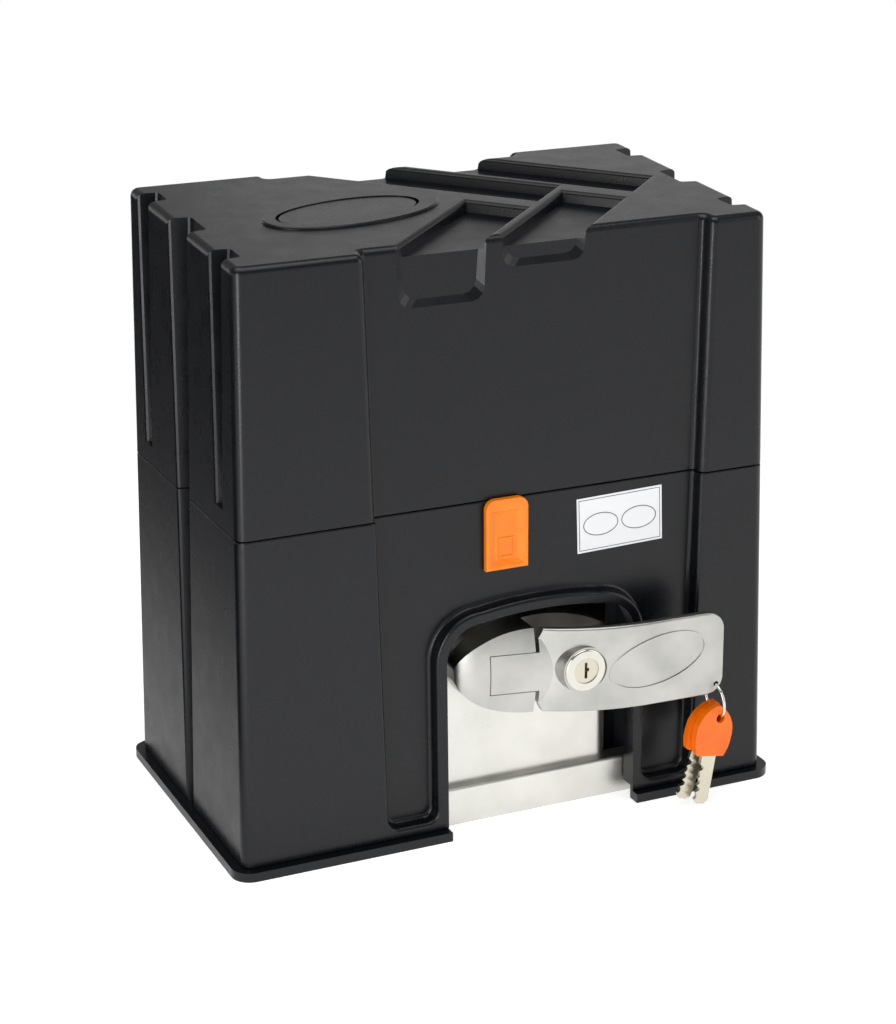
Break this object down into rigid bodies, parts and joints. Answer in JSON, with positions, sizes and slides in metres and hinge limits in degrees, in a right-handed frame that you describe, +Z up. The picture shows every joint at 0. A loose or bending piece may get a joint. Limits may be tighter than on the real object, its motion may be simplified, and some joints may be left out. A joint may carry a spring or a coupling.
{
  "type": "sliding gate motor",
  "caption": "Motor for a sliding gate: worm gearbox and motor under a two-piece moulded housing, with a rack pinion at the back and a keyed release lever in front.",
  "frame": {"origin": "middle of the base on the ground plane, at the centre of the four foot fixings", "axes": "+X to the right along the front, +Y to the back where the rack pinion is, +Z up"},
  "size_m": [0.3132, 0.2359, 0.3251],
  "materials": {
    "black_plastic": "fine satin texture",
    "badge_plastic": "satin",
    "orange_plastic": "semi gloss",
    "cast_aluminium": "bead blasted",
    "bearing_steel": "ground",
    "bronze": "machined",
    "steel": "ground",
    "pinion_steel": "zinc plated",
    "motor_aluminium": "cast",
    "laminations": "oiled",
    "lever_aluminium": "tumbled",
    "lock_chrome": "polished",
    "lock_nickel": "satin nickel",
    "orange_key": "semi gloss",
    "carrier_plastic": "moulded",
    "circuit_board": "solder mask",
    "terminal_plastic": "moulded",
    "capacitor_can": "moulded",
    "key_steel": "nickel plated"
  },
  "bodies": {
    "base": {"lower_cover": "black_plastic", "gearbox_housing": "cast_aluminium", "gearbox_rear_cover": "cast_aluminium", "output_bearing_front": "bearing_steel", "output_bearing_rear": "bearing_steel", "motor_shell": "motor_aluminium", "stator_core": "laminations", "motor_end_shield": "motor_aluminium", "release_fork": "lever_aluminium", "hinge_pin": "steel", "cover_screws": "steel", "motor_bolts": "steel", "encoder_cap": "badge_plastic", "board_bracket": "carrier_plastic", "control_board": "circuit_board", "terminal_blocks": "terminal_plastic", "transformer": "laminations", "capacitor": "capacitor_can"},
    "lid": {"upper_cover": "black_plastic", "badge_insert": "badge_plastic"},
    "latch": {"lid_latch": "orange_plastic"},
    "output": {"output_shaft": "steel", "crown_wheel": "bronze", "output_pinion": "pinion_steel"},
    "rotor": {"worm_shaft": "steel", "rotor_core": "laminations"},
    "lever": {"release_lever": "lever_aluminium", "lock_barrel": "lock_chrome"},
    "lock_cylinder": {"lock_plug": "lock_nickel", "lock_cam": "steel"},
    "ring": {"key_ring": "steel"},
    "front_key": {"key_front_bow": "orange_key", "key_front_blade": "key_steel"},
    "back_key": {"key_back_bow": "orange_key", "key_back_blade": "key_steel"}
  },
  "joints": [
    {"name": "lid_lift", "type": "slide", "parent": "base", "child": "lid", "axis": [0, 0, 1], "range_m": [0, 0.16]},
    {"name": "latch_slide", "type": "slide", "parent": "base", "child": "latch", "axis": [0, 0, -1], "range_m": [0, 0.008]},
    {"name": "lever_swing", "type": "hinge", "parent": "base", "child": "lever", "pos_m": [0, -0.0858, 0.0876], "axis": [0, 0, -1], "range_deg": [0, 95]},
    {"name": "lock_turn", "type": "hinge", "parent": "lever", "child": "lock_cylinder", "pos_m": [0.0337, -0.1024, 0.0886], "axis": [0, 1, 0], "range_deg": [0, 90]},
    {"name": "key_ring_swing", "type": "hinge", "parent": "lever", "child": "ring", "pos_m": [0.1084, -0.1052, 0.0701], "axis": [0, 1, 0], "range_deg": [-20, 20]},
    {"name": "front_key_swing", "type": "hinge", "parent": "ring", "child": "front_key", "pos_m": [0.11047, -0.1078, 0.05041], "axis": [0, 1, 0], "range_deg": [-20, 20]},
    {"name": "back_key_swing", "type": "hinge", "parent": "ring", "child": "back_key", "pos_m": [0.11047, -0.1026, 0.05041], "axis": [0, 1, 0], "range_deg": [-20, 20]},
    {"name": "output_spin", "type": "hinge", "parent": "base", "child": "output", "pos_m": [0.017, 0, 0.058], "axis": [0, 1, 0], "continuous": true},
    {"name": "rotor_spin", "type": "hinge", "parent": "base", "child": "rotor", "pos_m": [-0.028, -0.014, 0.1], "axis": [0, 0, 1], "continuous": true}
  ],
  "couplings": [
    {"joint": "rotor_spin", "follows": "output_spin", "ratio": 28}
  ]
}
